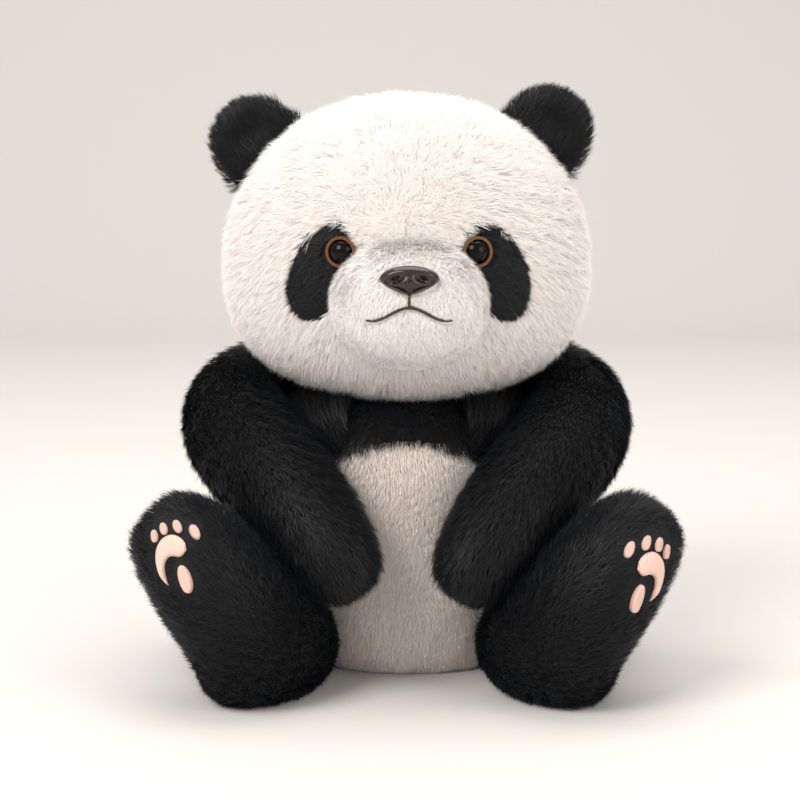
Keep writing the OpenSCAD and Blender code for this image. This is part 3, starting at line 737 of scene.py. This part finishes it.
def pad_mesh(line, width):
    """A raised pad: its height is a quarter-round at the edge and nearly level in the middle."""
    across, q = np.meshgrid(np.linspace(-1, 1, 17), np.linspace(0, 1, 33))
    edge = np.clip(1 - abs(across) ** 4, 0, 1) ** 0.5 * np.clip(width(q) / 2, 0, 1)
    return sole_points(pad_spots(line, width, across, q), PAD_LIFT * edge + 0.2), across, q


def thread_finish(name, low, high):
    """Satin stitch: the pad's own UV runs along the threads, which show as fine ridges, with painted shade
    in the grooves between them and a painted highlight on their tops.
    """
    finish = Finish(name, roughness=0.42, sheen_weight=0.4)
    uv = finish.node("ShaderNodeUVMap", {"uv_map": "stitches"})
    row = Value(finish, finish.node("ShaderNodeSeparateXYZ", {}, {0: uv}).socket.node.outputs[1])
    ridge = finish.node("ShaderNodeMath", {"operation": "SINE"}, {0: row * 210}) * 0.5 + 0.5
    # Painted shade and highlight: the colour follows the ridges, darker in the grooves and lighter on the
    # thread tops.
    finish.set("Base Color", finish.colour(ridge, low, high))
    bump = finish.node("ShaderNodeBump", {}, {"Strength": 0.6, "Distance": 0.0004, "Height": ridge})
    finish.set("Normal", bump)
    return finish.material


# The darker pink is painted shade in the grooves, the lighter pink a painted highlight on the threads.
PINK_STITCH = thread_finish("pink satin stitch", (0.72, 0.42, 0.34), (0.93, 0.66, 0.58))


def all_pads(side, word):
    """The six pads of one foot in one piece."""
    co, faces, uv = [], [], []
    for line, width in pads(side):
        p, across, q = pad_mesh(line, width)
        faces.append(grid_faces(33, 17, False) + sum(len(c) for c in co))
        co.append(mirrored(p, side).reshape(-1, 3))
        uv.append(np.stack([(across + 1) / 2, q], -1).reshape(-1, 2))
    faces = np.concatenate(faces).astype(np.int32)
    if side == RIGHT:
        faces = faces[:, ::-1].copy()
    piece = new_mesh(word + "_pad_embroidery", np.concatenate(co), faces)
    layer = piece.data.uv_layers.new(name="stitches")
    layer.data.foreach_set("uv", np.concatenate(uv)[faces.ravel()].ravel())
    piece.data.materials.append(PINK_STITCH)
    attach(piece, word + "_leg")
    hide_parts(word + "_paw_pads")
    return piece


for side, word in SIDES.items():
    all_pads(side, word)

# ---- Nose and mouth ------------------------------------------------------------------------------

def nose_place():
    """The nose's middle on the muzzle and its directions: across, up and out."""
    up = math.radians(NOSE_UP)
    middle = np.array([FACE_X, float(muzzle_y(np.array(float(FACE_X)), np.array(NOSE_Z))) - 1.2, NOSE_Z])
    return middle, np.array([1, 0, 0]), np.array([0, math.sin(up), math.cos(up)]), \
        np.array([0, -math.cos(up), math.sin(up)])


def nose_form(a, q):
    """A wide rounded triangle, domed, with a ridge down the middle and two nostrils beside it."""
    middle, across, up, out = nose_place()
    r = np.sin(np.pi / 2 * q)
    wide = NOSE_W / 2 * r * np.cos(a) * (1 - 0.16 * np.sin(a) * (np.sin(a) < 0) * -1 * r)
    high = NOSE_H / 2 * r * np.sin(a) * np.where(np.sin(a) < 0, 1.18 - 0.35 * abs(np.cos(a)), 0.95)
    lift = 8.5 * np.clip(1 - r ** 2.4, 0, 1) ** 0.5
    nostril = np.exp(-((abs(wide) - 6.6) / 3.3) ** 2 - ((high + 0.8 + 0.12 * abs(wide)) / 1.7) ** 2)
    groove = np.exp(-(wide / 0.7) ** 2) / (1 + np.exp((high + 1) * 1.5))
    lift = lift - 4.2 * nostril - 1.2 * groove
    return middle + wide[..., None] * across + high[..., None] * up + (lift - 0.4)[..., None] * out


NOSE_FINISH = Finish("dark brown moulded plastic", roughness=0.14).set(
    "Base Color", (0.022, 0.011, 0.009, 1))
nose = round_piece("moulded_nose", nose_form, 96, 48)
nose.data.materials.append(NOSE_FINISH.material)
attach(nose, "head")
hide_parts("nose")


def mouth_height(x):
    """A wave: a rise in the middle, a dip to each side and ends that turn up a little."""
    t = 2 * abs(x) / MOUTH_W
    return MOUTH_Z - 3.5 * (1 - np.cos(np.pi * np.minimum(1, t * 1.15))) + 2 * np.maximum(0, t - 0.87)


def mouth_lines():
    x = MOUTH_W * np.linspace(-0.5, 0.5, 90)
    wave = np.stack([FACE_X + x, mouth_height(x)], -1)
    drop = np.stack([np.full(16, float(FACE_X)), np.linspace(NOSE_Z - NOSE_H / 2 - 1, MOUTH_Z, 16)], -1)
    return [wave, drop]


MOUTH_LIFT, THREAD_R = 2.0, 0.62


def tube(path, radius, sides=10):
    """Rings round a path, set across its direction, as points and faces."""
    ahead = unit(np.gradient(path, axis=0))
    across = unit(np.cross(ahead, [0, -1, 0]))
    other = np.cross(ahead, across)
    a = np.arange(sides) / sides * 2 * np.pi
    ends = np.sin(np.linspace(0, np.pi, len(path))) ** 0.2
    radius = (radius * ends)[:, None, None]
    turn = np.cos(a)[None, :, None] * across[:, None] + np.sin(a)[None, :, None] * other[:, None]
    ring = path[:, None] + radius * turn
    return ring.reshape(-1, 3), grid_faces(len(path), sides, True)


def mouth():
    """Two plies of thread twisted round each other along each line of the mouth."""
    co, faces = [], []
    for line in mouth_lines():
        x, z = line[:, 0], line[:, 1]
        middle = points(x, muzzle_y(x, z) - MOUTH_LIFT, z)
        run = np.concatenate([[0], np.cumsum(np.linalg.norm(np.diff(middle, axis=0), axis=1))])
        for turn in (0, np.pi):
            wind = run / 2.6 * 2 * np.pi + turn
            step = np.stack([0 * run, -np.sin(wind), np.cos(wind)], -1) * THREAD_R * 0.55
            p, f = tube(middle + step, THREAD_R)
            faces.append(f + sum(len(c) for c in co))
            co.append(p)
    return tidy(new_mesh("mouth_thread", np.concatenate(co), np.concatenate(faces).astype(np.int32)))


MOUTH_FINISH = cloth_finish("dark brown thread", (0.03, 0.014, 0.01), (0.07, 0.036, 0.026), roughness=0.7)
thread = mouth()
thread.data.materials.append(MOUTH_FINISH)
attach(thread, "head")
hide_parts("mouth_stitching")

# ---- The pile on each skin -----------------------------------------------------------------------

DOWN = np.array([0, 0, -1.0])


def toward(direction):
    return lambda p: np.broadcast_to(np.array(direction, float), p.shape)


def brushed_face(p):
    """Hairs lie away from the bridge of the nose, and hang a little."""
    return unit(p - np.array([FACE_X, -70, EYE_Z - 6])) + 0.55 * DOWN


def brushed_along(limb, side):
    """Hairs lie along a limb, towards its end."""
    t = np.linspace(0, 1, 40)
    line, ahead = mirrored(bezier(limb["path"], t), side), mirrored(heading(limb["path"], t), side)

    def comb(p):
        gap = ((p[:, None] - line[None]) ** 2).sum(2)
        return ahead[gap.argmin(1)] + 0.35 * DOWN

    return comb


def off_face(p, normal):
    """Keeps the head's long hairs off the eyes, the eye patches and the muzzle."""
    front = p[:, 1] < HEAD_Y
    x, z = p[:, 0], p[:, 2]
    covered = muzzle_r(x, z) < 0.88
    for side in SIDES:
        covered |= patch_r(side, x, z) < 0.97
        covered |= np.hypot(x - FACE_X - side * EYE_X, z - EYE_Z) < EYE_D / 2 + 1.5
    return ~(front & covered)


def head_length(p):
    """Long hairs, shorter on the face between the eyes and over the brows."""
    front = np.clip((HEAD_Y - 20 - p[:, 1]) / 30, 0, 1)
    near = np.exp(-((p[:, 0] - FACE_X) / 48) ** 2 - ((p[:, 2] - EYE_Z + 4) / 34) ** 2)
    return 10.5 - 5.2 * front * near


def off_patch(side):
    def keep(p, normal):
        eye = np.hypot(p[:, 0] - FACE_X - side * EYE_X, p[:, 2] - EYE_Z) > EYE_D / 2 + 0.6
        return eye & (muzzle_r(p[:, 0], p[:, 2]) > 0.97)
    return keep


def off_muzzle(p, normal):
    """Keeps the muzzle's hairs off the nose and the mouth, and out of the head."""
    x, z = p[:, 0] - FACE_X, p[:, 2]
    outside = p[:, 1] < face_y(p[:, 0], z) + 1.5
    nose = np.hypot(x / (NOSE_W / 2 - 0.5), (z - NOSE_Z + 0.5) / (NOSE_H / 2 - 0.5)) > 1
    wave = (abs(x) > MOUTH_W / 2 + 0.5) | (abs(z - mouth_height(x)) > 0.9)
    drop = (abs(x) > 0.8) | (z < MOUTH_Z) | (z > NOSE_Z)
    return outside & nose & wave & drop


def muzzle_length(p):
    x, z = p[:, 0] - FACE_X, p[:, 2]
    line = np.minimum(abs(z - mouth_height(x)) + 20 * (abs(x) > MOUTH_W / 2), 6)
    out = muzzle_r(p[:, 0], z)
    return 3.2 + 1.8 * np.clip(line / 6, 0, 1) * np.clip(out, 0.4, 1) + 1.2 * (out > 0.85)


def above_ground(p, normal):
    return (p[:, 2] > 1.5) | (normal[:, 2] > -0.5)


def pad_gap(side):
    """The distance from points to the pads of one foot, by points spread over them; 20 when farther."""
    across, q = np.meshgrid(np.linspace(-1, 1, 7), np.linspace(0, 1, 15))
    spread = np.concatenate([
        mirrored(sole_points(pad_spots(line, width, across, q), 0.0), side).reshape(-1, 3)
        for line, width in pads(side)
    ])
    middle = spread.mean(0)

    def gap(p):
        found = np.full(len(p), 20.0)
        close = np.nonzero(np.linalg.norm(p - middle, axis=1) < 50)[0]
        for part in np.array_split(close, max(1, len(close) // 4000)):
            found[part] = np.sqrt(((p[part][:, None] - spread[None]) ** 2).sum(2).min(1))
        return found

    return gap


def off_pads(side):
    gap = pad_gap(side)
    return lambda p, normal: above_ground(p, normal) & (gap(p) > 1.8)


def leg_length(side):
    """Long hairs, trimmed short round the pads so that none lies over them."""
    gap = pad_gap(side)
    return lambda p: 9.0 * np.clip(gap(p) / 13, 0.24, 1)


def at_shoulders(p, normal):
    return (abs(p[:, 0]) > 30) & (p[:, 2] > 116)


def on_side(side, keep):
    return lambda p, normal: (p[:, 0] * side > 0) & keep(p, normal)


def half(front, keep=None):
    """Chooses the hairs of the front or the back half."""
    def choose(p, normal):
        chosen = (p[:, 1] < HEAD_Y) == front
        return chosen & keep(p, normal) if keep else chosen
    return choose


for side, word in SIDES.items():
    pile(f"{word}_face_pile", head, CREAM_PILE, "head", 3.6, head_length, brushed_face,
         half(True, on_side(side, off_face)), width=0.28)
pile("head_back_pile", head, CREAM_PILE, "head", 2.1, 10.5, brushed_face, half(False))
pile("muzzle_pile", muzzle, MUZZLE_PILE, "head", 6.0, muzzle_length,
     lambda p: unit(p - np.array([FACE_X, -90, NOSE_Z])) + 0.3 * DOWN, off_muzzle,
     lean=(45, 66), width=0.28, swirl=0.1)
pile("belly_front_pile", below, BELLY_PILE, "torso", 2.4, 6.0, toward(DOWN),
     half(True, above_ground))
pile("belly_back_pile", below, BELLY_PILE, "torso", 2.4, 6.0, toward(DOWN),
     half(False, above_ground))
pile("yoke_pile", above, BLACK_PILE, "torso", 2.2, 9.0, toward(DOWN + [0, 0, 0.2]))
pile("shoulder_pile", above, BLACK_PILE, "torso", 2.0, 16.0, toward([0, 0, 1]),
     at_shoulders, lean=(4, 30))
pile("neck_pile", neck, BLACK_PILE, "neck", 2.2, 7.0, toward(DOWN))
pile("tail_pile", tail, CREAM_PILE, "tail", 2.2, 10.0, toward([0, 0.6, -0.8]))
for side, word in SIDES.items():
    pile(word + "_patch_pile", patches[side], BLACK_PILE, "head", 4.0, 5.0, brushed_face,
         off_patch(side), lean=(42, 60))
    pile(word + "_ear_pile", ears[side], BLACK_PILE, word + "_ear", 2.6, 8.0,
         toward(ear_place(side)[3]), lean=(40, 60))
    pile(word + "_arm_pile", arms[side], BLACK_PILE, word + "_arm", 2.1, 9.5,
         brushed_along(arm(side), side), above_ground)
    pile(word + "_leg_pile", legs[side], BLACK_PILE, word + "_leg", 2.0, leg_length(side),
         brushed_along(LEG, side), off_pads(side))

# ---- CAD pieces that stay ------------------------------------------------------------------------

FINISHES = {
    "ring": Finish("amber ring", roughness=0.25).set("Base Color", (0.13, 0.045, 0.012, 1)),
    "eye": Finish("black eye", roughness=0.02).set("Base Color", (0.003, 0.0015, 0.001, 1)).set(
        "Specular IOR Level", 0.16),
    "washer": Finish("washer plastic", roughness=0.45).set("Base Color", (0.78, 0.75, 0.66, 1)),
    "seam": Finish("white thread", roughness=0.8).set("Base Color", (0.75, 0.68, 0.61, 1)),
}
KINDS = {"eye_ring": "ring", "eye": "eye", "washer": "washer", "closing_seam": "seam"}
for name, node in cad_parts.items():
    kind = next((KINDS[end] for end in KINDS if name.endswith(end)), None)
    if kind:
        node.data.materials.clear()
        node.data.materials.append(FINISHES[kind].material)

# ---- Floor, light and camera ---------------------------------------------------------------------

FLAT, BEND, WALL, REACH = 1600, 700, 3000, 30000


def studio_sweep():
    """A floor that curves up into a wall behind: a straight, a quarter-round and a straight again."""
    turn = np.linspace(0, np.pi / 2, 24)
    y = np.concatenate([[-REACH], FLAT + BEND * np.sin(turn), [FLAT + BEND]])
    z = np.concatenate([[0], BEND * (1 - np.cos(turn)), [WALL]])
    x = np.array([-REACH, REACH])[:, None]
    return new_mesh("floor", points(x, y, z).reshape(-1, 3), grid_faces(2, len(y), False).astype(np.int32))


floor = studio_sweep()
FLOOR_FINISH = Finish("pale floor", roughness=0.9).set("Base Color", (0.72, 0.70, 0.68, 1))
floor.data.materials.append(FLOOR_FINISH.material)


def area_light(name, place, target, power, size, colour):
    lamp = bpy.data.lights.new(name, "AREA")
    lamp.energy, lamp.size, lamp.color = power, size, colour
    light = bpy.data.objects.new(name, lamp)
    light.location = place
    look_at(light, target)
    bpy.context.scene.collection.objects.link(light)


def look_at(thing, target):
    thing.rotation_euler = (Vector(target) - Vector(thing.location)).to_track_quat("-Z", "Y").to_euler()


area_light("window", (-1.1, -1.3, 1.5), (0, 0, 0.16), 34, 1.1, (1, 0.97, 0.93))
area_light("fill", (1.4, -1.1, 0.8), (0, 0, 0.15), 12, 1.2, (1, 0.95, 0.9))
area_light("top", (0.1, 0.4, 1.7), (0, 0, 0.15), 16, 1.4, (1, 0.98, 0.95))
world = bpy.data.worlds.new("room")
bpy.context.scene.world = world
world.use_nodes = True
world.node_tree.nodes["Background"].inputs[0].default_value = (0.90, 0.87, 0.84, 1)
world.node_tree.nodes["Background"].inputs[1].default_value = 0.75

TARGET = np.array([-3.6, 3, 139]) * MM
DISTANCE, RISE = 1.12, math.radians(8)
lens = bpy.data.cameras.new("camera")
lens.lens, lens.sensor_width = 90, 36
camera = bpy.data.objects.new("camera", lens)
camera.location = TARGET + DISTANCE * np.array([0, -math.cos(RISE), math.sin(RISE)])
look_at(camera, TARGET)
bpy.context.scene.collection.objects.link(camera)
bpy.context.scene.camera = camera
bpy.context.scene.view_settings.view_transform = "Standard"

bpy.data.objects.remove(torso)
